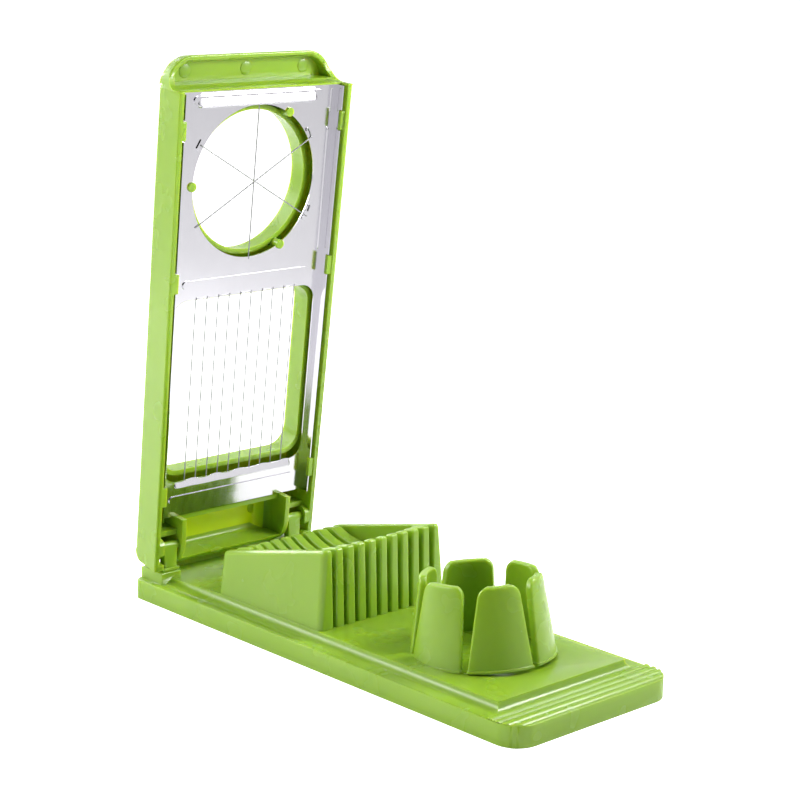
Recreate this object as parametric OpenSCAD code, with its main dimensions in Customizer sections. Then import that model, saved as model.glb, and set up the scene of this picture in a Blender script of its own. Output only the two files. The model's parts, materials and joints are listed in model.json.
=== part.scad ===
// Hinged egg slicer with a slicing cradle and a wedge crown.
// Frame: origin at the centre of the base's underside, +Z up, hinge end at -X, thumb ledge at +X.
// The lid is drawn in its own frame (u along the lid, v across, w towards the outer face)
// with the hinge axis on the v axis, and is then swung open about that axis.

/* [Base] */
// Length of the base
base_length = 222; // [218:1:230]
// Width of the base
base_width = 85; // [84:1:90]
// Height of the flat ledge round the platform
ledge_height = 8.4; // [7.5:0.1:9]
// Height of the raised platform
platform_height = 11.7; // [11:0.1:12.5]
// Wall thickness of the base moulding
base_wall = 2.2; // [1.6:0.1:2.6]
// Number of thumb ridges on the ledge at the free end
ridge_count = 4; // [2:1:4]

/* [Cradle] */
// Length of the cradle at its foot
cradle_length = 63.4; // [58:0.1:66]
// Width of the cradle at its foot
cradle_width = 67.4; // [66:0.1:68]
// Radius of the egg hollow at its middle
hollow_radius = 41.8; // [40:0.1:42]
// Height of the middle of the egg hollow
hollow_height = 65.4; // [65:0.1:67]

/* [Crown] */
// Radius of the crown at its foot
crown_foot_radius = 27.8; // [26:0.1:27.8]
// Radius of the crown at its top
crown_top_radius = 23.2; // [21:0.1:23.5]
// Height of the crown along its leaning axis
crown_height = 30.3; // [28:0.1:32]
// Wall thickness of the prongs
prong_wall = 3.2; // [2.4:0.1:4]

/* [Hinge] */
// Distance of the hinge axis from the hinge end of the base
hinge_inset = 11.7; // [11:0.1:12.5]
// Height of the hinge axis
hinge_height = 23.6; // [23:0.1:25]
// Diameter of the trunnion pins
pin_d = 3.8; // [3.4:0.1:4]
// Radial clearance of the pins in their sockets
pin_clearance = 0.08; // [0.04:0.01:0.1]
// How far the lid stands open
open_angle = 84; // [0:1:95]

/* [Lid] */
// Length of the lid from the hinge axis to its tip
lid_reach = 202.3; // [200:0.1:204]
// Depth of the lid from its outer face to its rim
lid_depth = 17.65; // [16:0.05:18]
// Half width of the lid's outer face at the hinge axis
lid_half_width = 40; // [39.8:0.1:40.5]
// Wall thickness of the lid
lid_wall = 2.4; // [2:0.1:2.6]
// Distance of the round opening's middle from the hinge axis
round_reach = 152; // [151:0.1:153]
// Inner radius of the round collar at its near end
round_radius = 29; // [28.8:0.1:29.2]

/* [Wires] */
// Number of slicing wires
wire_count = 10; // [8:1:12]
// Spacing of the slicing wires
wire_pitch = 5.78; // [5:0.01:5.8]
// Diameter of the wires
wire_d = 0.5; // [0.4:0.05:0.6]
// Thickness of the steel sheet
sheet = 0.5; // [0.4:0.1:0.6]

/* [Hidden] */
$fn = 64;
cut = 0.01;
big = 300;

// base
hinge_end = -base_length / 2;
free_end = base_length / 2;
half_width = base_width / 2;
hinge_corner_r = 3;
free_corner_r = 10;
platform_half = 34;
platform_end = free_end - 17.5;
platform_rise = platform_height - ledge_height;
ramp_rise = 1.6;
ramp_start = hinge_end + 12;
ramp_end = hinge_end + 50;
ridge_pitch = 3.38;
ridge_first = free_end - 13.2;
ridge_height = 0.75;
ridge_r = 2.04;
under_rib = 1.4;
under_cells_x = 12;
under_cells_y = 4;
recess = 0.8;
cheek_in = 29.6;
cheek_out = 39.6;
cheek_length = 15;
cheek_top = 13.2;
rail_t = 2.2;

// cradle
cradle_end = -2.6;
cradle_start = cradle_end - cradle_length;
side_draft = 0.085;
hinge_face_draft = 0.05;
free_face_draft = 0.035;
cradle_low_top = 28.9;
cradle_high_top = 43.5;
hollow_x = -42;
hollow_sweep = 80;
hollow_half = 26.9;
slot_foot = 1.5;
slot_top = 2.2;
wire_span = (wire_count - 1) * wire_pitch;

// crown
crown_x = 52.2;
crown_lean = 4.6;
gap_foot = 2.4;
gap_top = 5.2;
prong_round = 4.5;
knee_share = 0.94;
prong_gaps = 3;
crown_floor_r = 26;
crown_slab = 40;
crown_root = 4;

// hinge
hinge_x = hinge_end + hinge_inset;
post_middle = 33.7;
post_foot_w = 8.2;
post_foot_l = 5.6;
post_foot_top = 14.7;
neck_w = 6.3;
neck_l = 3.8;
pin_inner = 27.9;
pin_outer = 39.6;
bore_d = pin_d + 2 * pin_clearance;

// lid
lid_top = 14.1;
lid_rim = lid_top - lid_depth;
lid_heel = -9;
heel_r = 5;
draft = 0.174;
taper = 0.5;
tip_corner_r = 12;
tip_rim = 8.2;
tip_step = 191;
tip_sweep_r = 7;
plate_t = 2;
cross_wall = 190.3;
cross_wall_t = 2;
cross_wall_low = 0.4;
pocket_in = 27;
pocket_out = 29.2;
pocket_end = 11.4;
pocket_low = -3;
pocket_cove = 7;
scoop_lip = 1.5;
scoop_r = 12;
scoop_u = 0.4;
post_gap_top = 7;
heel_rib_u = 4;
heel_rib_t = 2.2;
heel_rib_low = 1;
boss_r = 4.2;
boss_in = 38.2;
collar_wall = 2.1;
collar_flare = 0.125;
round_drop = 2.9;
window_drop = 1.6;
window_near = [31.2, 104.1, 36];
window_r = 7.5;
lug_spots = [23.5, 114.4, 176];
lug_l = 8;
lug_reach = 1.1;
lug_low = 0.4;
lug_t = 1.7;
peg_count = 3;
peg_r = 1.9;
peg_ring = 32;

// wire plate: its near face looks out of the open side of the lid
sheet_near = 1.8;
sheet_far = sheet_near + sheet;
plate_start = 11.9;
plate_end = 190.1;
plate_side = 39.2;
flange_drop = 4.4;
plate_window = [27.2, 105, 37.4];
plate_window_r = 7;
plate_hole_r = 31.6;
bead_h = 0.5;
bead_w = 3.4;
bead_half = 33.5;
bead_spots = [19, 111.5, 186.6];
notch_depth = 1;
pad_l = 2.6;
pad_w = 4;

// wires
slice_w = sheet_far - wire_d / 2;
wedge_count = 3;
wedge_half = plate_hole_r + notch_depth;

green = [0.53, 0.74, 0.22];
steel = [0.86, 0.86, 0.89];

// ---- shared shapes

// Flat plate outline with one corner radius at its start and another at its end
module corner_outline(x0, x1, half, r0, r1) {
    translate([x0 + r0, -half]) square([x1 - x0 - r0 - r1, 2 * half]);
    translate([x0, -half + r0]) square([r0 + cut, 2 * (half - r0)]);
    translate([x1 - r1 - cut, -half + r1]) square([r1 + cut, 2 * (half - r1)]);
    for (side = [-1, 1]) {
        translate([x0 + r0, side * (half - r0)]) circle(r0);
        translate([x1 - r1, side * (half - r1)]) circle(r1);
    }
}

// Extrudes a (y, z) profile along X from x0 to x1
module along_x(x0, x1) {
    translate([x0, 0, 0]) rotate([90, 0, 90]) linear_extrude(x1 - x0) children();
}

// Extrudes an (x, z) profile along Y, half way to each side
module along_y(width) {
    rotate([90, 0, 0]) linear_extrude(width, center = true) children();
}

// Rounded box whose four sides lean outwards by slope with height
module drafted_box(x0, x1, half, r, z0, z1, slope) {
    h = z1 - z0;
    grow = h * slope;
    along_y(2 * (half - r))
        polygon([[x0, z0], [x1, z0], [x1 + grow, z1], [x0 - grow, z1]]);
    along_x(x0 + r, x1 - r)
        polygon([[-half, z0], [half, z0], [half + grow, z1], [-half - grow, z1]]);
    for (x = [x0 + r, x1 - r], side = [-1, 1])
        translate([x, side * (half - r), z0]) cylinder(h = h, r1 = r, r2 = r + grow);
}

// ---- base

module base_outline(inset = 0) {
    corner_outline(hinge_end + inset, free_end - inset, half_width - inset,
        hinge_corner_r - inset / 2, free_corner_r - inset);
}

// Cross section of the platform with a hollow cove down each side
module platform_section() {
    difference() {
        translate([-platform_half - platform_rise, ledge_height - cut])
            square([2 * (platform_half + platform_rise), platform_rise + cut]);
        for (side = [-1, 1])
            translate([side * (platform_half + platform_rise), platform_height])
                circle(platform_rise);
    }
}

// Long section of the platform: low by the hinge, a ramp, then flat to the free end
module platform_side() {
    foot = ledge_height - cut;
    cove_end = platform_end + platform_rise;
    difference() {
        polygon([
            [hinge_end + 2, foot], [cove_end, foot], [cove_end, platform_height],
            [ramp_end, platform_height], [ramp_start, ledge_height + ramp_rise],
            [hinge_end + 2, ledge_height + ramp_rise]
        ]);
        translate([cove_end, platform_height]) circle(platform_rise);
    }
}

module platform() {
    intersection() {
        along_x(hinge_end, free_end) platform_section();
        along_y(base_width) platform_side();
    }
}

module thumb_ridges() {
    intersection() {
        for (i = [0:ridge_count - 1])
            translate([ridge_first + i * ridge_pitch, 0, ledge_height + ridge_height - ridge_r])
                rotate([90, 0, 0]) cylinder(h = base_width + 2, r = ridge_r, center = true);
        translate([0, 0, ledge_height / 2]) linear_extrude(platform_height) base_outline(0.3);
    }
}

// Low cheeks that the hinge posts stand on, and the rail that joins them
module hinge_cheeks() {
    for (side = [-1, 1])
        translate([hinge_end + 0.6, side > 0 ? cheek_in : -cheek_out, ledge_height - cut])
            cube([cheek_length - 0.6, cheek_out - cheek_in, cheek_top - ledge_height + cut]);
    translate([hinge_end + 0.6, -cheek_in - cut, ledge_height - cut])
        cube([rail_t, 2 * (cheek_in + cut), cheek_top - ledge_height + cut]);
}

// Open space under the base, split into cells by thin ribs
module under_space() {
    inner_l = base_length - 2 * base_wall;
    inner_w = base_width - 2 * base_wall;
    difference() {
        union() {
            translate([0, 0, -cut]) linear_extrude(ledge_height - base_wall + cut)
                base_outline(base_wall);
            translate([ramp_end, -platform_half + base_wall, 0])
                cube([platform_end - base_wall - ramp_end, 2 * (platform_half - base_wall),
                    platform_height - base_wall - recess]);
        }
        for (i = [1:under_cells_x - 1])
            translate([hinge_end + base_wall + i * inner_l / under_cells_x, 0, 0])
                translate([-under_rib / 2, -half_width, 0])
                    cube([under_rib, base_width, platform_height]);
        for (i = [1:under_cells_y - 1])
            translate([hinge_end, -inner_w / 2 + i * inner_w / under_cells_y - under_rib / 2,
                0])
                cube([base_length, under_rib, platform_height]);
    }
}

module base_plate() {
    color(green) difference() {
        union() {
            linear_extrude(ledge_height) base_outline();
            platform();
            thumb_ridges();
            hinge_cheeks();
        }
        under_space();
        translate([cradle_start + 1, -cradle_width / 2 + 1, platform_height - recess])
            cube([cradle_length - 2, cradle_width - 2, recess + 1]);
        translate([crown_x, 0, platform_height - recess]) cylinder(h = recess + 1, r = crown_floor_r);
    }
}

// ---- cradle

module cradle_block() {
    foot = platform_height;
    high = cradle_high_top - foot;
    low = cradle_low_top - foot;
    half = cradle_width / 2;
    intersection() {
        along_y(cradle_width) polygon([
            [cradle_start, foot], [cradle_end, foot],
            [cradle_end - high * free_face_draft, cradle_high_top],
            [cradle_start + low * hinge_face_draft, cradle_low_top]
        ]);
        along_x(cradle_start - 1, cradle_end + 1) polygon([
            [-half, foot], [half, foot],
            [half - high * side_draft, foot + high], [-half + high * side_draft, foot + high]
        ]);
    }
}

// Barrel that leaves the seat for an egg lying across the cradle, between the two outer walls
module egg_hollow() {
    translate([hollow_x, 0, hollow_height]) rotate([90, 0, 0]) rotate_extrude($fn = 128)
        intersection() {
            translate([hollow_radius - hollow_sweep, 0]) circle(hollow_sweep, $fn = 128);
            translate([0, -hollow_half]) square([hollow_radius, 2 * hollow_half]);
        }
}

module wire_slot(y) {
    top = cradle_high_top + 1;
    along_x(cradle_start - 2, cradle_end + 2) polygon([
        [y - slot_foot / 2, platform_height], [y + slot_foot / 2, platform_height],
        [y + slot_top / 2, top], [y - slot_top / 2, top]
    ]);
}

module slicing_cradle() {
    color(green) {
        difference() {
            cradle_block();
            egg_hollow();
            for (i = [0:wire_count - 1]) wire_slot(i * wire_pitch - wire_span / 2);
        }
        translate([cradle_start + 1, -cradle_width / 2 + 1, platform_height - recess])
            cube([cradle_length - 2, cradle_width - 2, recess]);
    }
}

// ---- crown

// Places its children on the crown's leaning axis
module on_crown() {
    translate([crown_x, 0, platform_height]) rotate([0, -crown_lean, 0]) children();
}

// Cone about the crown's axis, from z0 to z1 along it
module crown_cone(r_foot, r_top, z0, z1) {
    slope = (r_top - r_foot) / crown_height;
    translate([0, 0, z0])
        cylinder(h = z1 - z0, r1 = r_foot + z0 * slope, r2 = r_foot + z1 * slope, $fn = 96);
}

// Outline of one upright gap between prongs, wider towards its top
module prong_gap_outline() {
    high = crown_height + crown_root;
    half_top = (gap_foot + (gap_top - gap_foot) * high / (crown_height - prong_round)) / 2;
    polygon([[-gap_foot / 2, 0], [gap_foot / 2, 0], [half_top, high], [-half_top, high]]);
}

// Outline that rounds the two prong corners beside a gap
module prong_corner_outline() {
    knee = crown_height - prong_round * knee_share;
    difference() {
        translate([-gap_top / 2 - prong_round, knee])
            square([gap_top + 2 * prong_round, prong_round + 2]);
        for (side = [-1, 1])
            translate([side * (gap_top / 2 + prong_round), knee]) circle(prong_round);
    }
}

module wedge_crown() {
    top_shift = crown_height * tan(crown_lean);
    color(green) {
        difference() {
            intersection() {
                on_crown() difference() {
                    crown_cone(crown_foot_radius, crown_top_radius, -crown_root, crown_height);
                    crown_cone(crown_foot_radius - prong_wall, crown_top_radius - prong_wall,
                        -crown_root - 1, crown_height + 1);
                    for (i = [0:prong_gaps - 1])
                        translate([top_shift, 0, 0]) rotate([0, 0, i * 180 / prong_gaps])
                            along_x(-crown_slab, crown_slab) prong_corner_outline();
                }
                translate([crown_x - crown_slab, -crown_slab, platform_height])
                    cube([2 * crown_slab, 2 * crown_slab, crown_height + crown_root]);
            }
            for (i = [0:prong_gaps - 1])
                translate([crown_x, 0, platform_height - cut]) rotate([0, 0, i * 180 / prong_gaps])
                    along_x(-crown_slab, crown_slab) prong_gap_outline();
        }
        translate([crown_x, 0, platform_height - recess]) cylinder(h = recess, r = crown_floor_r);
    }
}

// ---- hinge posts

module hinge_post(side) {
    y = side * post_middle;
    color(green) {
        translate([hinge_x - post_foot_l / 2, y - post_foot_w / 2, cheek_top])
            cube([post_foot_l, post_foot_w, post_foot_top - cheek_top]);
        translate([hinge_x - neck_l / 2, y - neck_w / 2, post_foot_top - cut])
            cube([neck_l, neck_w, hinge_height - post_foot_top]);
        translate([hinge_x, side * (pin_inner + pin_outer) / 2, hinge_height])
            rotate([90, 0, 0]) cylinder(h = pin_outer - pin_inner, d = pin_d, center = true);
    }
}

module hinge_post_front() {
    hinge_post(-1);
}

module hinge_post_back() {
    hinge_post(1);
}

// ---- lid, drawn closed about the hinge axis

module open_lid() {
    translate([hinge_x, 0, hinge_height]) rotate([0, -open_angle, 0]) children();
}

// Side view of the lid: rounded heel, straight rim, and a rim that sweeps up at the tip
module lid_side(inset, low) {
    r = heel_r - inset;
    top = lid_top - (inset > 0 ? plate_t : 0);
    heel = lid_heel + inset;
    difference() {
        union() {
            translate([heel + r, low]) square([lid_reach + 5 - heel - r, top - low]);
            translate([heel, low]) square([r + cut, top - r - low]);
            intersection() {
                translate([heel + r, top - r]) circle(r);
                translate([heel, top - r]) square([r + 1, r]);
            }
        }
        if (inset == 0) {
            translate([tip_step, lid_rim - 1]) square([big, tip_rim - tip_sweep_r - lid_rim + 1]);
            translate([tip_step + tip_sweep_r, lid_rim - 1])
                square([big, tip_rim - lid_rim + 1]);
            translate([tip_step + tip_sweep_r, tip_rim - tip_sweep_r]) circle(tip_sweep_r);
        }
    }
}

// Everything inside one leaning, tapering side wall
module inside_side(side, inset) {
    edge = lid_half_width - inset;
    low = lid_rim - 5;
    rotate([0, 0, side * taper]) along_x(-big / 2, big) polygon([
        [-side * big / 2, low], [side * (edge + (lid_top - low) * draft), low],
        [side * edge, lid_top], [-side * big / 2, lid_top]
    ]);
}

// Plan of the lid with its two rounded tip corners
module inside_tip(inset) {
    corner_u = lid_reach - tip_corner_r;
    corner_v = lid_half_width + corner_u * tan(taper) - tip_corner_r;
    low = lid_rim - 5;
    grow = (lid_top - low) * draft;
    r = tip_corner_r - inset;
    translate([-big / 2, -big / 4, low]) cube([big / 2 + corner_u, big / 2, lid_top - low]);
    along_y(2 * corner_v) polygon([
        [corner_u - 1, low], [corner_u + r + grow, low],
        [corner_u + r, lid_top], [corner_u - 1, lid_top]
    ]);
    for (side = [-1, 1])
        translate([corner_u, side * corner_v, low])
            cylinder(h = lid_top - low, r1 = r + grow, r2 = r);
}

module lid_solid(inset, low) {
    intersection() {
        along_y(big / 2) lid_side(inset, low);
        inside_side(-1, inset);
        inside_side(1, inset);
        inside_tip(inset);
    }
}

module round_collar(extra, z0, z1) {
    h = lid_top - sheet_far - round_drop;
    translate([round_reach, 0, sheet_far + round_drop + z0])
        cylinder(h = h + z1 - z0, r1 = round_radius + extra + z0 * collar_flare,
            r2 = round_radius + extra + (h + z1) * collar_flare, $fn = 128);
}

module window_collar(extra, z0, z1) {
    drafted_box(window_near[0] - extra - z0 * collar_flare,
        window_near[1] + extra + z0 * collar_flare,
        window_near[2] + extra + z0 * collar_flare,
        window_r + extra + z0 * collar_flare, sheet_far + window_drop + z0, lid_top + z1,
        collar_flare);
}

// Walls, ribs and bosses inside the lid at the hinge
module heel_parts() {
    for (side = [-1, 1]) {
        translate([lid_heel, side > 0 ? pocket_in : -pocket_out, pocket_low])
            cube([pocket_end - lid_heel, pocket_out - pocket_in, lid_top - pocket_low - 1]);
        translate([heel_rib_u, side > 0 ? pocket_in + 1 : -half_width, heel_rib_low])
            cube([heel_rib_t, half_width - pocket_in - 1, lid_top - heel_rib_low - 1]);
        translate([0, side * (boss_in + 5), 0]) rotate([90, 0, 0])
            cylinder(h = 10, r = boss_r, center = true);
        // hollow corner between the pocket's side wall and its back
        difference() {
            translate([lid_heel, side > 0 ? pocket_in - pocket_cove : -pocket_in,
                lid_top - plate_t - pocket_cove])
                cube([pocket_end - lid_heel, pocket_cove, pocket_cove + 1]);
            translate([lid_heel - 1, side * (pocket_in - pocket_cove),
                lid_top - plate_t - pocket_cove])
                rotate([0, 90, 0]) cylinder(h = pocket_end - lid_heel + 2, r = pocket_cove);
        }
    }
    translate([pocket_end - 2, -pocket_out, sheet_far + 0.2])
        cube([2, 2 * pocket_out, lid_top - sheet_far - 1]);
}

// Sets the heel's edge back between the pocket walls and curves it into them
module heel_scoop() {
    along_y(2 * pocket_out) difference() {
        translate([lid_heel - 1, lid_rim - 1])
            square([scoop_u - lid_heel + 1, scoop_lip - lid_rim + 1]);
        translate([scoop_u, pocket_low + scoop_r]) circle(scoop_r);
    }
}

module side_lugs() {
    for (side = [-1, 1])
        rotate([0, 0, side * taper]) for (u = lug_spots)
            translate([u - lug_l / 2, side > 0 ? plate_side + 0.2 - lug_reach : -half_width,
                lid_rim + lug_low])
                cube([lug_l, half_width - plate_side - 0.2 + lug_reach, lug_t]);
}

module collar_pegs() {
    for (i = [0:peg_count - 1])
        rotate_about_round(i * 360 / peg_count + 30)
            translate([peg_ring, 0, 1.1]) cylinder(h = lid_top - 2, r = peg_r);
}

module rotate_about_round(angle) {
    translate([round_reach, 0, 0]) rotate([0, 0, angle]) children();
}

module lid_closed() {
    difference() {
        intersection() {
            lid_solid(0, lid_rim);
            union() {
                difference() {
                    lid_solid(0, lid_rim);
                    lid_solid(lid_wall, lid_rim - 2);
                }
                translate([cross_wall, -half_width - 5, cross_wall_low])
                    cube([cross_wall_t, base_width + 10, lid_top - cross_wall_low]);
                heel_parts();
                side_lugs();
                round_collar(collar_wall, 0, 0);
                window_collar(collar_wall, 0, 0);
                collar_pegs();
            }
        }
        round_collar(0, -3, 1);
        window_collar(0, -1, 1);
        heel_scoop();
        // room for the posts and their necks
        for (side = [-1, 1]) {
            post_room = boss_in - pocket_out;
            translate([lid_heel - 1, side > 0 ? pocket_out : -boss_in, lid_rim - 1])
                cube([-lid_heel + 1 - pin_d, post_room, post_gap_top - lid_rim + 1]);
        }
        rotate([90, 0, 0]) for (side = [-1, 1])
            translate([0, 0, side * (pin_inner + pin_outer) / 2])
                cylinder(h = pin_outer - pin_inner + 0.8, d = bore_d, center = true);
    }
}

module lid_frame() {
    color(green) open_lid() lid_closed();
}

// ---- wire plate

module plate_side_blank(side) {
    low = sheet_near - flange_drop;
    rotate([0, 0, side * taper]) along_x(-big / 2, big)
        polygon([
            [-side * big / 2, sheet_near], [-side * big / 2, sheet_far],
            [side * plate_side, sheet_far], [side * plate_side, low],
            [side * (plate_side - sheet), low], [side * (plate_side - sheet), sheet_near]
        ]);
}

module plate_blank() {
    difference() {
        intersection() {
            for (side = [-1, 1]) plate_side_blank(side);
            translate([0, -big / 2, -big / 2]) cube(big);
        }
        translate([-big, -big / 2, -big / 2]) cube([big + plate_start, big, big]);
        translate([plate_end, -big / 2, -big / 2]) cube(big);
        for (side = [-1, 1])
            rotate([0, 0, side * taper])
                translate([-big / 2, side > 0 ? plate_side : -plate_side - big, -big / 2])
                    cube(big * [2, 1, 1]);
    }
}

module plate_bead(u) {
    translate([u, 0, sheet_near - bead_h]) linear_extrude(bead_h + cut) {
        square([bead_w, 2 * bead_half - bead_w], center = true);
        for (side = [-1, 1]) translate([0, side * (bead_half - bead_w / 2)]) circle(bead_w / 2);
    }
}

module wire_plate() {
    color(steel) open_lid() {
        difference() {
            plate_blank();
            translate([0, 0, sheet_near - 1]) linear_extrude(sheet + 2) {
                corner_outline(plate_window[0], plate_window[1], plate_window[2],
                    plate_window_r, plate_window_r);
                translate([round_reach, 0]) circle(plate_hole_r, $fn = 128);
                for (i = [0:peg_count - 1])
                    translate([round_reach, 0]) rotate(i * 360 / peg_count + 30)
                        translate([peg_ring, 0]) circle(peg_r + 0.1);
                for (i = [0:wire_count - 1])
                    translate([plate_window[0] - notch_depth,
                        i * wire_pitch - wire_span / 2 - wire_d / 2])
                        square([plate_window[1] - plate_window[0] + 2 * notch_depth, wire_d]);
                translate([round_reach - wedge_half, -wire_d / 2]) square([2 * wedge_half, wire_d]);
            }
            for (side = [-1, 1])
                rotate([0, 0, side * taper]) for (u = lug_spots)
                    translate([u - lug_l / 2 - 0.3, side * plate_side - 2, lid_rim - 1])
                        cube([lug_l + 0.6, 4, lug_low + lug_t + 1.2]);
        }
        for (u = bead_spots) plate_bead(u);
        for (i = [1:wedge_count - 1], turn = [0, 180])
            rotate_about_round(i * 60 + turn)
                translate([plate_hole_r + 0.4, -pad_w / 2, sheet_near - (i - 1) * wire_d])
                    cube([pad_l, pad_w, (i - 1) * wire_d + cut]);
    }
}

// ---- wires

module slice_wire(i) {
    y = (i - 1) * wire_pitch - wire_span / 2;
    start = plate_window[0] - notch_depth;
    color(steel) open_lid() translate([start, y, slice_w]) rotate([0, 90, 0])
        cylinder(h = plate_window[1] + notch_depth - start, d = wire_d);
}

// The wedge wires lie one on another, so each is a wire's thickness nearer than the last
module wedge_wire(i) {
    half = wedge_half + (i > 1 ? 1 : 0);
    color(steel) open_lid() rotate_about_round((i - 1) * 60)
        translate([-half, 0, slice_w - (i - 1) * wire_d]) rotate([0, 90, 0])
            cylinder(h = 2 * half, d = wire_d);
}

base_plate();
slicing_cradle();
wedge_crown();
hinge_post_front();
hinge_post_back();
lid_frame();
wire_plate();
slice_wire(1);  // slice_wire_01
slice_wire(2);  // slice_wire_02
slice_wire(3);  // slice_wire_03
slice_wire(4);  // slice_wire_04
slice_wire(5);  // slice_wire_05
slice_wire(6);  // slice_wire_06
slice_wire(7);  // slice_wire_07
slice_wire(8);  // slice_wire_08
slice_wire(9);  // slice_wire_09
slice_wire(10);  // slice_wire_10
wedge_wire(1);  // wedge_wire_1
wedge_wire(2);  // wedge_wire_2
wedge_wire(3);  // wedge_wire_3
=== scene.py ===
"""Looks for the hinged egg slicer: lime-green plastic with a stamped steel wire plate."""

import json
import math

import bmesh
import bpy
from mathutils import Matrix, Vector


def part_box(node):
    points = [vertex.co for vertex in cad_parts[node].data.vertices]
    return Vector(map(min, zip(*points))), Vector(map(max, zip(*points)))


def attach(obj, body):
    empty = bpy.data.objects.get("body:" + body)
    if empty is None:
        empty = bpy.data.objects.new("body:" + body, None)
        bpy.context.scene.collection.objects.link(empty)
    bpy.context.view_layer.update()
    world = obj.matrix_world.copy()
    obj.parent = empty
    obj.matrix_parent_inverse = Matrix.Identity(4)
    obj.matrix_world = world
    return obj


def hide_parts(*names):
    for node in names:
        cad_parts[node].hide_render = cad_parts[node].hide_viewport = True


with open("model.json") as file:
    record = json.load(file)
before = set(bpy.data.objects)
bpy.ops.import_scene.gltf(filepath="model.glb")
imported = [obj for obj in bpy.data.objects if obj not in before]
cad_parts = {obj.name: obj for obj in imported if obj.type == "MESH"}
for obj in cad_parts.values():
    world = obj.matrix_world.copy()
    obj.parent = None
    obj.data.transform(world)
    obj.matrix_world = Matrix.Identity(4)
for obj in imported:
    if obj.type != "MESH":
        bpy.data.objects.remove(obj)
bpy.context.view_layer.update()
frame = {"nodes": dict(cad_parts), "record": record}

MM = 0.001
hinge = next(j for j in frame["record"]["behaviour"]["joints"] if j["name"] == "lid_hinge")
HINGE = Vector(hinge["pos_m"])
# the open lid's slope from level, as the photo shows it
OPEN = math.radians(84)
LID_U = Vector((math.cos(OPEN), 0, math.sin(OPEN)))
LID_V = Vector((0, 1, 0))
LID_W = Vector((-math.sin(OPEN), 0, math.cos(OPEN)))
LID_TO_ROW = Matrix((
    (LID_U.x, LID_V.x, LID_W.x, HINGE.x),
    (LID_U.y, LID_V.y, LID_W.y, HINGE.y),
    (LID_U.z, LID_V.z, LID_W.z, HINGE.z),
    (0, 0, 0, 1),
))
ROW_TO_LID = LID_TO_ROW.inverted()
# the bevel's own width, of which each edge takes a share by its weight
MAX_RADIUS = 3 * MM
BEVEL_STEPS = 3
# corners that turn less than this, in degrees, count as one flat face
FLAT_ANGLE = 0.6
# points this close, in metres, are one point, and edges this short are dropped
SAME_PLACE = 2e-6
NO_LENGTH = 1e-5

# places on the lid in its own frame, in millimetres: u from the hinge to the tip, v across, w outward
SHEET_NEAR = 1.8
ROUND_REACH = 152
POCKET_FLOOR = 12.1
TOP_FACE = 14
TIP_START = 184
TIP_CORNER_END = 196
TIP_CORNER_V = 34
TIP_WALL_U = 189
OUTSIDE_U = 193
OUTSIDE_V = 39.5
SIDE_WALL_V = 41
# the open rim lies below these, along the sides and round the tip
RIM_W = 3
TIP_RIM_W = 9
# the heel pocket's floor, which is painted with a glow: from u to u, to each side of the middle, and further
# out than w
HEEL_POCKET_U = (-3, 15)
HEEL_POCKET_HALF = 26
HEEL_POCKET_W = 6


# ---- materials

def new_material(name):
    material = bpy.data.materials.new(name)
    material.use_nodes = True
    tree = material.node_tree
    return material, tree, tree.nodes["Principled BSDF"]


def add_noise(tree, scale, detail=2.0):
    coords = tree.nodes.new("ShaderNodeTexCoord")
    noise = tree.nodes.new("ShaderNodeTexNoise")
    noise.inputs["Scale"].default_value = scale
    noise.inputs["Detail"].default_value = detail
    tree.links.new(coords.outputs["Object"], noise.inputs["Vector"])
    return noise.outputs["Fac"]


def map_range(tree, value, low, high):
    node = tree.nodes.new("ShaderNodeMapRange")
    node.inputs["From Min"].default_value = 0.3
    node.inputs["From Max"].default_value = 0.7
    node.inputs["To Min"].default_value = low
    node.inputs["To Max"].default_value = high
    tree.links.new(value, node.inputs["Value"])
    return node.outputs["Result"]


def add_bump(tree, shader, height, distance, strength):
    bump = tree.nodes.new("ShaderNodeBump")
    bump.inputs["Distance"].default_value = distance
    bump.inputs["Strength"].default_value = strength
    tree.links.new(height, bump.inputs["Height"])
    tree.links.new(bump.outputs["Normal"], shader.inputs["Normal"])


def mix_colours(tree, factor, first, second):
    mix = tree.nodes.new("ShaderNodeMix")
    mix.data_type = "RGBA"
    mix.inputs[6].default_value = (*first, 1)
    mix.inputs[7].default_value = (*second, 1)
    tree.links.new(factor, mix.inputs[0])
    return mix.outputs[2]


def green_plastic(name, dark, light):
    """Glossy moulded plastic: faint colour flow, soft waves in the gloss, a little light let through."""
    material, tree, shader = new_material(name)
    flow = map_range(tree, add_noise(tree, 22, 3), 0, 1)
    tree.links.new(mix_colours(tree, flow, dark, light), shader.inputs["Base Color"])
    tree.links.new(map_range(tree, add_noise(tree, 60, 2), 0.22, 0.29), shader.inputs["Roughness"])
    add_bump(tree, shader, add_noise(tree, 240, 2), 0.0003, 0.04)
    shader.inputs["Subsurface Weight"].default_value = 0.65
    shader.inputs["Subsurface Radius"].default_value = (1.4, 1.15, 0.08)
    shader.inputs["Subsurface Scale"].default_value = 0.0042
    shader.inputs["IOR"].default_value = 1.5
    return material


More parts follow.
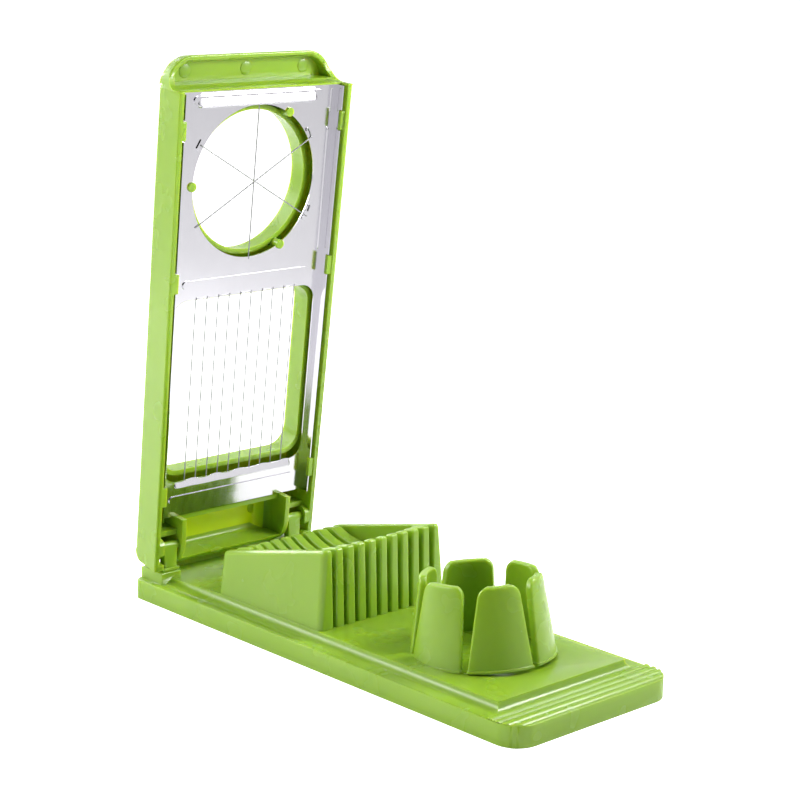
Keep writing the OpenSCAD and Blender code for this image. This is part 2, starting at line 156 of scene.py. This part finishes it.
def plate_steel():
    """Bright rolled sheet, slightly wavy from the press, with fine lengthwise lines."""
    material, tree, shader = new_material("plate_steel_look")
    coords = tree.nodes.new("ShaderNodeTexCoord")
    stretch = tree.nodes.new("ShaderNodeMapping")
    stretch.inputs["Scale"].default_value = (1500, 1500, 25)
    tree.links.new(coords.outputs["Object"], stretch.inputs["Vector"])
    lines = tree.nodes.new("ShaderNodeTexNoise")
    lines.inputs["Scale"].default_value = 1
    tree.links.new(stretch.outputs["Vector"], lines.inputs["Vector"])
    grain = lines.outputs["Fac"]
    tree.links.new(
        mix_colours(tree, grain, (0.69, 0.68, 0.72), (0.75, 0.74, 0.78)), shader.inputs["Base Color"]
    )
    tree.links.new(map_range(tree, grain, 0.10, 0.18), shader.inputs["Roughness"])
    add_bump(tree, shader, add_noise(tree, 45, 2), 0.0008, 0.16)
    shader.inputs["Metallic"].default_value = 1
    return material


def wire_steel():
    """Drawn wire, grey enough to show against the white backdrop."""
    material, tree, shader = new_material("wire_steel_look")
    tree.links.new(
        mix_colours(tree, add_noise(tree, 900), (0.30, 0.30, 0.31), (0.42, 0.42, 0.44)),
        shader.inputs["Base Color"],
    )
    tree.links.new(map_range(tree, add_noise(tree, 400), 0.28, 0.38), shader.inputs["Roughness"])
    shader.inputs["Metallic"].default_value = 1
    return material


def floor_paper():
    """White paper that the camera sees brighter than the light it throws back on the object."""
    material, tree, shader = new_material("floor_paper")
    glow_seen, glow_always = 0.75, 0.25
    paper = mix_colours(tree, add_noise(tree, 3), (0.77, 0.77, 0.77), (0.79, 0.79, 0.79))
    tree.links.new(paper, shader.inputs["Base Color"])
    shader.inputs["Roughness"].default_value = 0.9
    shader.inputs["Specular IOR Level"].default_value = 0
    seen = tree.nodes.new("ShaderNodeLightPath")
    lift = tree.nodes.new("ShaderNodeMath")
    lift.operation = "MULTIPLY_ADD"
    lift.inputs[1].default_value = glow_seen
    lift.inputs[2].default_value = glow_always
    tree.links.new(seen.outputs["Is Camera Ray"], lift.inputs[0])
    tree.links.new(lift.outputs[0], shader.inputs["Emission Strength"])
    shader.inputs["Emission Color"].default_value = (1, 1, 1, 1)
    return material


GREEN = green_plastic("green_plastic_look", (0.240, 0.410, 0.024), (0.256, 0.426, 0.030))
# a brighter, yellower green: painted glow that stands in for light shining through the lid's thin pocket
# walls
POCKET_PAINTED_GLOW = green_plastic("pocket_painted_glow_look", (0.44, 0.60, 0.010), (0.47, 0.63, 0.014))
STEEL = plate_steel()
WIRE = wire_steel()


# ---- pieces made from the frame's own solids, with moulded edges

# an edge whose direction shares less than this with another's runs across it
NOT_ALONG = 0.9
# a rounding takes at most this share of the room beside its edge
ROOM_SHARE = 0.42


def room_beside(edge):
    """The shortest edge that leaves either end of this one across a face beside it."""
    line = (edge.verts[1].co - edge.verts[0].co).normalized()
    shortest = 1.0
    for loop in edge.link_loops:
        for other in (loop.link_loop_prev.edge, loop.link_loop_next.edge):
            across = other.verts[1].co - other.verts[0].co
            if across.length > 0 and abs(across.normalized().dot(line)) < NOT_ALONG:
                shortest = min(shortest, across.length)
    return shortest


def weight_edges(bm, radius, sharp):
    """Gives each outward corner the radius asked for, if there is room, and keeps the others sharp."""
    weights = bm.edges.layers.float.new("bevel_weight_edge")
    for edge in bm.edges:
        if len(edge.link_faces) != 2 or edge.calc_face_angle(0) < math.radians(sharp):
            continue
        size = min(radius(edge), ROOM_SHARE * room_beside(edge)) if edge.calc_face_angle_signed(0) > 0 else 0
        edge[weights] = min(size / MAX_RADIUS, 1)
        edge.smooth = size > 0


def rounded_copy(node, material, radius, evened, sharp):
    """A copy of a CAD node that stands for it, with flat faces joined up and outward corners rounded."""
    source = frame["nodes"][node]
    bm = bmesh.new()
    bm.from_mesh(source.data)
    bmesh.ops.remove_doubles(bm, verts=bm.verts, dist=SAME_PLACE)
    bmesh.ops.dissolve_limit(
        bm,
        angle_limit=math.radians(FLAT_ANGLE),
        verts=bm.verts,
        edges=bm.edges,
        use_dissolve_boundaries=False,
    )
    bmesh.ops.dissolve_degenerate(bm, edges=bm.edges, dist=NO_LENGTH)
    bm.normal_update()
    weight_edges(bm, radius, sharp)
    mesh = bpy.data.meshes.new(node + "_moulded")
    bm.to_mesh(mesh)
    bm.free()
    piece = bpy.data.objects.new(node + "_moulded", mesh)
    bpy.context.scene.collection.objects.link(piece)
    mesh.materials.append(material)
    for polygon in mesh.polygons:
        polygon.use_smooth = True
        polygon.material_index = 0
    bevel = piece.modifiers.new("edges", "BEVEL")
    bevel.limit_method = "WEIGHT"
    bevel.width = MAX_RADIUS
    bevel.segments = BEVEL_STEPS
    bevel.use_clamp_overlap = False
    bevel.harden_normals = not evened
    bevel.miter_outer = "MITER_ARC"
    if evened:
        even = piece.modifiers.new("even", "WEIGHTED_NORMAL")
        even.keep_sharp = True
    body = next(b for b, ns in frame["record"]["behaviour"]["bodies"].items() if node in ns)
    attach(piece, body)
    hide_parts(node)
    return piece


# the base in millimetres: heights of its ledge and platform, and where its outer parts start
LEDGE = 8.4
PLATFORM = 11.7
BASE_RIM_X = 109.5
BASE_RIM_Y = 41.5
RIDGES_FROM_X = 92
CHEEKS_TO_X = -90


def ends_mm(edge):
    return [vert.co / MM for vert in edge.verts]


def ends_on_lid(edge):
    return [ROW_TO_LID @ vert.co / MM for vert in edge.verts]


def base_radius(edge):
    """Roundings of the base by height: its foot, its ledge, the cheeks and the platform's rim."""
    a, b = ends_mm(edge)
    low, high = min(a.z, b.z), max(a.z, b.z)
    on_rim = max(abs(a.x), abs(b.x)) > BASE_RIM_X or max(abs(a.y), abs(b.y)) > BASE_RIM_Y
    if high < 0.2:
        return 0.25 * MM if on_rim else 0
    if low < LEDGE - 0.9:
        return 0
    if on_rim and high < LEDGE + 0.3:
        return (0.22 if max(a.x, b.x) > RIDGES_FROM_X else 0.6) * MM
    if high > PLATFORM + 0.8 and min(a.x, b.x) < CHEEKS_TO_X:
        return 0.5 * MM
    if low > PLATFORM - 0.1 and high < PLATFORM + 0.1:
        return 0.18 * MM
    return 0


def post_radius(edge):
    return 0.7 * MM


def lid_radius(edge):
    """Roundings of the lid's outside. Its inner edges and the corners beside the tip stay sharp."""
    a, b = ends_on_lid(edge)
    narrow, wide = min(abs(a.y), abs(b.y)), max(abs(a.y), abs(b.y))
    near, far, high = min(a.x, b.x), max(a.x, b.x), max(a.z, b.z)
    outer = narrow > OUTSIDE_V or near > OUTSIDE_U
    at_tip = near > TIP_WALL_U
    if TIP_START < near and far < TIP_CORNER_END and narrow > TIP_CORNER_V:
        return 0
    if min(a.z, b.z) > TOP_FACE:
        return (0 if not outer else 0.45 if near > TIP_START else 1.2) * MM
    if outer and (high < RIM_W or (high < TIP_RIM_W and at_tip)):
        return 0.7 * MM
    if outer and (wide > SIDE_WALL_V or at_tip):
        return 0.4 * MM
    return 0


def paint_heel_pocket_glow(piece):
    """Paint the heel pocket's floor a brighter, yellower green: a painted glow that stands in for light
    shining through the lid's thin wall.
    """
    piece.data.materials.append(POCKET_PAINTED_GLOW)
    for polygon in piece.data.polygons:
        place = ROW_TO_LID @ polygon.center / MM
        inside = HEEL_POCKET_U[0] < place.x < HEEL_POCKET_U[1] and abs(place.y) < HEEL_POCKET_HALF
        faces_in = polygon.normal.dot(LID_W) < -0.6
        if inside and place.z > HEEL_POCKET_W and faces_in:
            polygon.material_index = 1


# each node with its roundings, whether its normals are evened, and the turn in degrees of a corner
for name, radius, evened, sharp in (
    ("base_plate", base_radius, False, 16),
    ("hinge_post_front", post_radius, False, 28),
    ("hinge_post_back", post_radius, False, 28),
    ("lid_frame", lid_radius, True, 28),
):
    piece = rounded_copy(name, GREEN, radius, evened, sharp)
    # the lid's heel pocket floor gets its painted glow
    if name == "lid_frame":
        paint_heel_pocket_glow(piece)

for name, node in frame["nodes"].items():
    if name == "wire_plate":
        node.data.materials[0] = STEEL
    elif "_wire_" in name:
        node.data.materials[0] = WIRE


# ---- the cradle and the crown, lofted with rounded edges

def grid_faces(rows, columns, closed=False):
    """Four-sided faces between the points of a grid, listed row by row."""
    faces = []
    for i in range(rows - 1):
        for j in range(columns if closed else columns - 1):
            here, beside = i * columns + j, i * columns + (j + 1) % columns
            faces.append((here, beside, beside + columns, here + columns))
    return faces


CORNER_STEPS = 5
ARC_STEPS = 26


def round_corner(before, corner, after, radius):
    """Points of an arc that takes the corner off a line that turns there."""
    back, ahead = (before - corner), (after - corner)
    turn = back.angle(ahead)
    reach = min(radius / math.tan(turn / 2), 0.48 * back.length, 0.48 * ahead.length)
    start, end = corner + back.normalized() * reach, corner + ahead.normalized() * reach
    return [
        start * (1 - t) ** 2 + corner * 2 * t * (1 - t) + end * t ** 2
        for t in (i / CORNER_STEPS for i in range(CORNER_STEPS + 1))
    ]


def inset_line(line, distance):
    """An open line of (x, z) points, moved to its right-hand side by distance."""
    moved = []
    for i, here in enumerate(line):
        ahead = (line[min(i + 1, len(line) - 1)] - line[max(i - 1, 0)]).normalized()
        moved.append(here + Vector((ahead.y, -ahead.x)) * distance)
    return moved


def quarter(steps=4):
    """(inset, depth) shares of an edge's rounding, from the flat of the face to the flat of the side."""
    return [(1 - math.sin(a), 1 - math.cos(a)) for a in (math.pi / 2 * i / steps for i in range(steps + 1))]


def add_loft(points, faces, loops, cap=True):
    first = len(points)
    size = len(loops[0])
    for loop in loops:
        points += loop
    for i in range(len(loops) - 1):
        for j in range(size - 1):
            a = first + i * size + j
            faces.append((a, a + 1, a + size + 1, a + size))
    if cap:
        faces.append(tuple(range(first, first + size)))
        faces.append(tuple(range(first + (len(loops) - 1) * size, first + len(loops) * size)))


def moulded_piece(name, points, faces, node):
    mesh = bpy.data.meshes.new(name)
    mesh.from_pydata([Vector(p) * MM for p in points], [], faces)
    mesh.materials.append(GREEN)
    bm = bmesh.new()
    bm.from_mesh(mesh)
    bmesh.ops.remove_doubles(bm, verts=bm.verts, dist=1e-7)
    bmesh.ops.recalc_face_normals(bm, faces=bm.faces)
    bm.to_mesh(mesh)
    bm.free()
    for polygon in mesh.polygons:
        polygon.use_smooth = True
    mesh.set_sharp_from_angle(angle=math.radians(42))
    piece = bpy.data.objects.new(name, mesh)
    bpy.context.scene.collection.objects.link(piece)
    even = piece.modifiers.new("even", "WEIGHTED_NORMAL")
    even.keep_sharp = True
    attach(piece, "base")
    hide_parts(node)
    return piece


wires = sorted((n for n in frame["nodes"] if n.startswith("slice_wire")), key=lambda n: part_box(n)[0].y)
rows = [(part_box(n)[0].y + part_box(n)[1].y) / 2 / MM for n in wires]
cradle_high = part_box("slicing_cradle")[1] / MM
ROOT = 10.8
HORN_TOP = 28.9
TAIL_TOP = cradle_high.z
CRADLE_FOOT = (-66.0, -2.6)
HOLLOW = Vector((-42, 65.4))
HOLLOW_R = 41.8
HOLLOW_SWEEP = 80
SLOT_HALF = 0.75
SLOT_OPENING = 0.35
HORN_R, LIP_R, TAIL_R, WALL_R = 1.1, 1.2, 1.5, 1.6
WALL_DRAFT = 0.085
RIB_EDGE = 0.85
INNER_EDGE = 0.8
# rounding of an outer wall: into its side, in from its ends and down from its top
OUTER_EDGE = (2.2, 2.7, 1.5)
OUTER_STEPS = 6


def hinge_face(z):
    return CRADLE_FOOT[0] + (z - PLATFORM) * 0.05


def tail_face(z):
    return CRADLE_FOOT[1] - (z - PLATFORM) * 0.035


def cradle_roof(x):
    a, b = hinge_face(HORN_TOP), tail_face(TAIL_TOP)
    return HORN_TOP + (TAIL_TOP - HORN_TOP) * (x - a) / (b - a)


def slot_half(z):
    """Half the width of a wire slot, which opens a little from its foot to its top."""
    return SLOT_HALF + SLOT_OPENING * (z - PLATFORM) / (TAIL_TOP + 1 - PLATFORM)


def hollow_at(y):
    """Radius of the egg hollow at a place across the cradle."""
    return HOLLOW_R - HOLLOW_SWEEP + math.sqrt(HOLLOW_SWEEP ** 2 - y * y)


def rib_line(y):
    """Side view of a rib: up the hinge face, over the horn, through the hollow, over the tail, down."""
    radius = hollow_at(y)
    slope = (TAIL_TOP - HORN_TOP) / (tail_face(TAIL_TOP) - hinge_face(HORN_TOP))
    level = cradle_roof(HOLLOW.x) - HOLLOW.y
    a, b, c = 1 + slope ** 2, 2 * slope * level, level ** 2 - radius ** 2
    root = math.sqrt(b * b - 4 * a * c)
    near, far = (-b - root) / (2 * a), (-b + root) / (2 * a)
    start, end = math.atan2(level + slope * near, near), math.atan2(level + slope * far, far)
    arc = [
        HOLLOW + Vector((math.cos(t), math.sin(t))) * radius
        for t in (start + (end - start) * i / ARC_STEPS for i in range(ARC_STEPS + 1))
    ]
    horn = Vector((hinge_face(HORN_TOP), HORN_TOP))
    tail = Vector((tail_face(TAIL_TOP), TAIL_TOP))
    foot_a, foot_b = Vector((hinge_face(ROOT), ROOT)), Vector((tail_face(ROOT), ROOT))
    line = [foot_a] + round_corner(foot_a, horn, arc[0], HORN_R)
    line += round_corner(horn, arc[0], arc[1], LIP_R)
    line += arc[2:-2] + round_corner(arc[-2], arc[-1], tail, LIP_R)
    line += round_corner(arc[-1], tail, foot_b, TAIL_R)
    return line + [foot_b]


def wall_line(inset_x, inset_z):
    """Side view of an outer wall, drawn in from its ends and its top."""
    foot_a = Vector((hinge_face(ROOT) + inset_x, ROOT))
    foot_b = Vector((tail_face(ROOT) - inset_x, ROOT))
    x0, x1 = hinge_face(HORN_TOP) + inset_x, tail_face(TAIL_TOP) - inset_x
    horn, tail = Vector((x0, cradle_roof(x0) - inset_z)), Vector((x1, cradle_roof(x1) - inset_z))
    line = [foot_a] + round_corner(foot_a, horn, tail, WALL_R)
    middle = [horn.lerp(tail, i / 12) for i in range(2, 11)]
    return line + middle + round_corner(horn, tail, foot_b, WALL_R) + [foot_b]


def rib_side(wire, side):
    """Lines round the side of a rib that faces a wire, from the rib's edge to its flat side."""
    lines = []
    for inset, depth in quarter():
        outline = inset_line(rib_line(wire + side * (SLOT_HALF + RIB_EDGE * depth)), RIB_EDGE * inset)
        lines.append([(p.x, wire + side * (slot_half(p.y) + RIB_EDGE * depth), p.y) for p in outline])
    return lines


def wall_inside(wire, side):
    """Lines round the side of an outer wall that faces the first or last wire."""
    lines = []
    for inset, depth in quarter():
        outline = wall_line(INNER_EDGE * inset, INNER_EDGE * inset)
        lines.append([(p.x, wire + side * (slot_half(p.y) + INNER_EDGE * depth), p.y) for p in outline])
    return lines


def wall_outside(side):
    """Lines round the drafted outside of an outer wall."""
    deep, along, down = OUTER_EDGE
    lines = []
    for inset, depth in quarter(OUTER_STEPS):
        outline = wall_line(along * inset, down * inset)
        lines.append([
            (p.x, side * (cradle_high.y - (p.y - PLATFORM) * WALL_DRAFT - deep * depth), p.y) for p in outline
        ])
    return lines


def build_cradle():
    points, faces = [], []
    for low, high in zip(rows, rows[1:]):
        add_loft(points, faces, rib_side(low, 1) + rib_side(high, -1)[::-1])
    for side, wire in ((-1, rows[0]), (1, rows[-1])):
        add_loft(points, faces, wall_inside(wire, side) + wall_outside(side)[::-1])
    moulded_piece("slicing_cradle_moulded", points, faces, "slicing_cradle")


CROWN_FOOT = Vector((52.2, 0, PLATFORM))
CROWN_TALL = 30.3
CROWN_R = (27.8, 23.2)
CROWN_WALL = 3.2
LEAN = math.radians(4.6)
CROWN_AXIS = Vector((-math.sin(LEAN), 0, math.cos(LEAN)))
CROWN_ACROSS = Vector((math.cos(LEAN), 0, math.sin(LEAN)))
# a prong's sides: half the gap at the foot, how much it widens, and the rounding of the top corner
GAP_FOOT = 1.2
GAP_WIDENING = 1.4
KNEE_R = 4.5
KNEE = CROWN_TALL - 4.23
FOOT_FILLET = 0.4
FILLET_IN_GAP = 0.6
PRONG_EDGE = 0.85
PRONG_COUNT = 6
PRONG_COLUMNS = 15


def crown_point(height, depth, turn, gap, side):
    """(radius, angle) on a prong's side, where the leaning cone meets the plane beside a gap."""
    flat = Vector((-math.sin(turn), math.cos(turn), 0))
    radius = CROWN_R[0] + (CROWN_R[1] - CROWN_R[0]) * height / CROWN_TALL - depth
    a, b = radius * flat.dot(CROWN_ACROSS), radius * flat.y
    c = side * gap - height * flat.dot(CROWN_AXIS)
    return radius, math.atan2(b, a) - math.acos(max(-1, min(1, c / math.hypot(a, b))))


def crown_place(height, radius, angle):
    return (
        CROWN_FOOT + CROWN_AXIS * height
        + (CROWN_ACROSS * math.cos(angle) + Vector((0, 1, 0)) * math.sin(angle)) * radius
    )


def prong_rows():
    """(height, half gap) up the side of a prong and round its top corner."""
    heights = (-0.8, 0.0, 0.1, 0.22, 0.4, 5, 10, 15, 20, 24)
    up = [(h, GAP_FOOT + GAP_WIDENING * h / (CROWN_TALL - KNEE_R)) for h in heights]
    arc = [math.radians(a) for a in (0, 12, 24, 36, 48, 60, 70)]
    return up + [
        (KNEE + KNEE_R * math.sin(a), GAP_FOOT + GAP_WIDENING + KNEE_R * (1 - math.cos(a))) for a in arc
    ]


def foot_fillet(height):
    """How far the hollow rounding at a prong's foot stands out at a height above the platform."""
    up = FOOT_FILLET - min(max(height, 0), FOOT_FILLET)
    return FOOT_FILLET - math.sqrt(max(FOOT_FILLET ** 2 - up ** 2, 0))


def prong_rings(middle, inset, depth):
    """The two side lines of a prong at one depth, drawn in from its sides and its top."""
    outward = 1 if depth < CROWN_WALL / 2 else -1
    sides = []
    for side in (1, -1):
        line = []
        turn = middle - side * math.pi / PRONG_COUNT
        for height, gap in prong_rows():
            fillet = foot_fillet(height)
            tall = min(height, CROWN_TALL) * (1 - inset / CROWN_TALL)
            radius, angle = crown_point(tall, depth, turn, gap + inset - fillet * FILLET_IN_GAP, side)
            line.append((tall, radius + fillet * outward, angle))
        sides.append(line)
    return sides


def near_turn(angle, middle):
    """The same angle, as the turn of it that lies nearest to the middle."""
    return middle + (angle - middle + math.pi) % (2 * math.pi) - math.pi


def prong_grid(middle, inset, depth):
    """Points of a prong's face at one depth, row by row from its foot."""
    left, right = prong_rings(middle, inset, depth)
    grid = []
    for (h, r, a0), (_, _, a1) in zip(left, right):
        a0, a1 = near_turn(a0, middle), near_turn(a1, middle)
        step = PRONG_COLUMNS - 1
        grid.append([crown_place(h, r, a0 + (a1 - a0) * c / step) for c in range(PRONG_COLUMNS)])
    return grid


def build_crown():
    points, faces = [], []
    outside = [(PRONG_EDGE * i, PRONG_EDGE * d) for i, d in quarter()]
    inside = [(PRONG_EDGE * i, CROWN_WALL - PRONG_EDGE * d) for i, d in quarter()[::-1]]
    shells = outside + inside
    for k in range(PRONG_COUNT):
        middle = math.radians(30 + 60 * k)
        loops = []
        for number, (inset, depth) in enumerate(shells):
            grid = prong_grid(middle, inset, depth)
            if number in (0, len(shells) - 1):
                first = len(points)
                points += [p for row in grid for p in row]
                faces += [tuple(first + i for i in face) for face in grid_faces(len(grid), PRONG_COLUMNS)]
            loops.append([row[0] for row in grid] + grid[-1][1:-1] + [row[-1] for row in grid[::-1]])
        add_loft(points, faces, loops, cap=False)
    moulded_piece("wedge_crown_moulded", points, faces, "wedge_crown")


build_cradle()
build_crown()


# ---- pressed and laced detail on the lid, drawn in the lid's own frame

def lid_piece(name, points, faces, material):
    mesh = bpy.data.meshes.new(name)
    mesh.from_pydata([LID_TO_ROW @ (Vector(p) * MM) for p in points], [], faces)
    mesh.materials.append(material)
    for polygon in mesh.polygons:
        polygon.use_smooth = True
    piece = bpy.data.objects.new(name, mesh)
    bpy.context.scene.collection.objects.link(piece)
    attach(piece, "lid")
    return piece


def dome(across):
    """Height share of a bead over its width, from -1 to 1: flat in the middle, falling at both edges."""
    return 1 - abs(across) ** 2.6


def ramp(across):
    """High along the lower edge, falling away towards the tip of the lid."""
    rise = 0.18
    foot = min((across + 1) / rise, 1)
    return foot * (2 - foot) * (1 - max(across + 1 - rise, 0) / (2 - rise))


def pressed_bead(
    name, middle, half_length, half_width, height, profile=dome, along_lid=False, wave=0.0, waves=1
):
    """A raised stamping on the near face of the steel, with rounded ends."""
    points = []
    rows, columns = 121, 15
    sunk = 0.08
    straight = half_length - half_width
    for i in range(rows):
        s = -half_length + 2 * half_length * i / (rows - 1)
        over = max(abs(s) - straight, 0) / half_width
        narrow = math.sqrt(max(1 - over * over, 0))
        for j in range(columns):
            t = -1 + 2 * j / (columns - 1)
            out = wave * math.sin(math.pi * s * waves / half_length) * (t + 1) / 2
            across = t * half_width * narrow + out
            rise = height * profile(t) * (1 - over ** 3) - sunk
            u, v = (s, across) if along_lid else (across, s)
            points.append((middle[0] + u, middle[1] + v, SHEET_NEAR - rise))
    return lid_piece(name, points, grid_faces(rows, columns), STEEL)


def bent_wire(name, path, thickness):
    """A round wire along a path on the lid."""
    sides = 8
    path = [Vector(p) for p in path]
    points = []
    for i, here in enumerate(path):
        ahead = (path[min(i + 1, len(path) - 1)] - path[max(i - 1, 0)]).normalized()
        side = ahead.cross(Vector((0, 0, 1))).normalized()
        up = side.cross(ahead)
        for k in range(sides):
            turn = 2 * math.pi * k / sides
            points.append(here + (side * math.cos(turn) + up * math.sin(turn)) * thickness / 2)
    faces = grid_faces(len(path), sides, closed=True)
    faces += [tuple(range(sides)), tuple(range(len(points) - sides, len(points)))[::-1]]
    return lid_piece(name, points, faces, WIRE)


def ejector_mark(name, middle, radius, floor, rise, material):
    """The round witness a moulding pin leaves on a pocket's floor."""
    sides, points = 48, []
    top = floor - rise
    outline = ((radius, floor + 0.05), (radius, floor - rise * 0.6), (radius - 0.15, top), (0.01, top))
    for r, w in outline:
        for k in range(sides):
            turn = 2 * math.pi * k / sides
            points.append((middle[0] + r * math.cos(turn), middle[1] + r * math.sin(turn), w))
    faces = grid_faces(len(outline), sides, closed=True)
    return lid_piece(name, points, faces, material)


pressed_bead("bead_tip_hem", (186.6, -1), 31.5, 3.2, 1.4, profile=ramp)
pressed_bead("bead_middle", (111.5, 0), 33.6, 1.95, 0.34)
pressed_bead("bead_heel", (19, 0), 33.6, 1.95, 0.45)
pressed_bead("bead_window_lip", (25.6, 0), 31.5, 1.6, 1.0, profile=ramp, wave=0.35, waves=5)
for side in (-1, 1):
    label = "front" if side < 0 else "back"
    pressed_bead("bead_flange_long_" + label, (146, side * 37.6), 26, 0.6, 0.35, along_lid=True)
    pressed_bead("bead_flange_short_" + label, (183.5, side * 38.0), 5, 0.6, 0.35, along_lid=True)

# Staples lace neighbouring wires together over the window's edge nearer the tip.
LACE_U = (104.9, 105.2, 105.4)
LACE_IN, LACE_OUT = 1.9, 1.66
LACE_BEND = 0.3
for i in range(0, len(rows) - 1, 2):
    first, second = rows[i], rows[i + 1]
    staple = [
        (LACE_U[0], first, LACE_IN),
        (LACE_U[1], first, LACE_OUT),
        (LACE_U[2], first + LACE_BEND, LACE_OUT),
        (LACE_U[2], second - LACE_BEND, LACE_OUT),
        (LACE_U[1], second, LACE_OUT),
        (LACE_U[0], second, LACE_IN),
    ]
    bent_wire("lace_top_%d" % (i // 2 + 1), staple, 0.36)

# Two wedge wires end in a hook: its route runs along the plate's hole and a little out from it.
HOOK_ROUTE = (
    (0, -0.6), (0.1, 0.3), (0.5, 0.75), (2.4, 0.95), (4.3, 0.75), (4.8, 0.3), (4.6, -0.2), (3.8, -0.5),
)
HOOK_RING = 32.5
HOOK_W = 1.55
for i, turn in enumerate((60, 120)):
    spoke = Vector((math.cos(math.radians(turn)), math.sin(math.radians(turn))))
    swing = Vector((spoke.y, -spoke.x))
    hook = []
    for along, out in HOOK_ROUTE:
        flat = Vector((ROUND_REACH, 0)) + spoke * (HOOK_RING + out) + swing * along
        hook.append((flat.x, flat.y, HOOK_W))
    bent_wire("hook_%d" % (i + 1), hook, 0.4)

MARK_R = 2.8
MARK_RISE = 0.14
for i, v in enumerate((0, -31.0, 30.2)):
    ejector_mark("ejector_tip_%d" % (i + 1), (196.4, v), MARK_R, POCKET_FLOOR, MARK_RISE, GREEN)
# the heel's pin mark shares the pocket floor's painted glow
ejector_mark("ejector_heel", (3.0, 21.0), MARK_R, POCKET_FLOOR, MARK_RISE, POCKET_PAINTED_GLOW)


# ---- stage

def make_floor():
    mesh = bpy.data.meshes.new("floor")
    size = 3.0
    corners = [(-size, -size, 0), (size, -size, 0), (size, size, 0), (-size, size, 0)]
    mesh.from_pydata(corners, [], [(0, 1, 2, 3)])
    mesh.materials.append(floor_paper())
    floor = bpy.data.objects.new("floor", mesh)
    bpy.context.scene.collection.objects.link(floor)


def make_light(name, place, aim, size, power):
    data = bpy.data.lights.new(name, "AREA")
    data.shape = "RECTANGLE"
    data.size, data.size_y = size
    data.energy = power
    lamp = bpy.data.objects.new(name, data)
    lamp.location = place
    lamp.rotation_euler = (Vector(aim) - Vector(place)).to_track_quat("-Z", "Y").to_euler()
    bpy.context.scene.collection.objects.link(lamp)


def make_world():
    """A studio: bright low down, dimmer overhead, dark on the camera's side, and white to look at."""
    world = bpy.data.worlds.new("studio")
    world.use_nodes = True
    tree = world.node_tree
    sky = tree.nodes["Background"]
    place = tree.nodes.new("ShaderNodeTexCoord")
    split = tree.nodes.new("ShaderNodeSeparateXYZ")
    fade = tree.nodes.new("ShaderNodeMapRange")
    fade.inputs["From Min"].default_value = 0.15
    fade.inputs["From Max"].default_value = 0.75
    fade.inputs["To Min"].default_value = 1.0
    fade.inputs["To Max"].default_value = 0.38
    tree.links.new(place.outputs["Generated"], split.inputs[0])
    tree.links.new(split.outputs["Z"], fade.inputs["Value"])
    toward = tree.nodes.new("ShaderNodeVectorMath")
    toward.operation = "DOT_PRODUCT"
    toward.inputs[1].default_value = (0.72, -0.68, 0.14)
    tree.links.new(place.outputs["Generated"], toward.inputs[0])
    shade = tree.nodes.new("ShaderNodeMapRange")
    shade.inputs["From Min"].default_value = 0.5
    shade.inputs["From Max"].default_value = 0.92
    shade.inputs["To Min"].default_value = 1.0
    shade.inputs["To Max"].default_value = 0.0
    tree.links.new(toward.outputs["Value"], shade.inputs["Value"])
    tree.links.new(fade.outputs["Result"], sky.inputs["Color"])
    tree.links.new(shade.outputs["Result"], sky.inputs["Strength"])
    backdrop = tree.nodes.new("ShaderNodeBackground")
    backdrop.inputs["Color"].default_value = (1, 1, 1, 1)
    backdrop.inputs["Strength"].default_value = 1.1
    seen = tree.nodes.new("ShaderNodeLightPath")
    mix = tree.nodes.new("ShaderNodeMixShader")
    tree.links.new(seen.outputs["Is Camera Ray"], mix.inputs[0])
    tree.links.new(sky.outputs[0], mix.inputs[1])
    tree.links.new(backdrop.outputs[0], mix.inputs[2])
    tree.links.new(mix.outputs[0], tree.nodes["World Output"].inputs["Surface"])
    bpy.context.scene.world = world


def make_camera():
    """The view: from the front right, a little above."""
    yaw, pitch, roll = (math.radians(a) for a in (46.6, 13.15, -1.19))
    forward = Vector((-math.sin(yaw) * math.cos(pitch), math.cos(yaw) * math.cos(pitch), -math.sin(pitch)))
    level = Vector((math.cos(yaw), math.sin(yaw), 0))
    down = forward.cross(level)
    right = math.cos(roll) * level + math.sin(roll) * down
    up = math.sin(roll) * level - math.cos(roll) * down
    data = bpy.data.cameras.new("camera")
    data.lens = 96.24
    data.sensor_width = 36
    camera = bpy.data.objects.new("camera", data)
    place = Vector((0.5864, -0.5510, 0.2874))
    camera.matrix_world = Matrix((
        (right.x, up.x, -forward.x, place.x),
        (right.y, up.y, -forward.y, place.y),
        (right.z, up.z, -forward.z, place.z),
        (0, 0, 0, 1),
    ))
    bpy.context.scene.collection.objects.link(camera)
    bpy.context.scene.camera = camera


bpy.context.scene.view_settings.view_transform = "Standard"
make_floor()
make_world()
make_light("key", (-0.75, -0.95, 0.75), (-0.03, 0, 0.08), (0.9, 0.6), 11)
make_light("left", (-1.05, -0.4, 0.75), (0, 0, 0.05), (0.7, 0.7), 2.4)
make_light("side", (-0.4, -0.6, 0.65), (-0.09, 0, 0.22), (0.35, 0.35), 0.7)
make_light("top", (0.3, 0.35, 1.2), (0, 0, 0), (0.7, 0.7), 1.8)
make_light("right", (0.55, 0.5, 0.58), (-0.1, 0, 0.18), (0.3, 0.3), 0.4)
make_light("lid", (0.25, 0.25, 0.5), (-0.1, 0, 0.18), (0.25, 0.25), 0.4)
make_light("tip", (0.15, 0.22, 0.3), (-0.09, 0, 0.2), (0.15, 0.15), 1.3)
make_light("rear", (-0.8, 0.1, 0.3), (-0.1, 0, 0.08), (0.4, 0.4), 3.5)
make_camera()
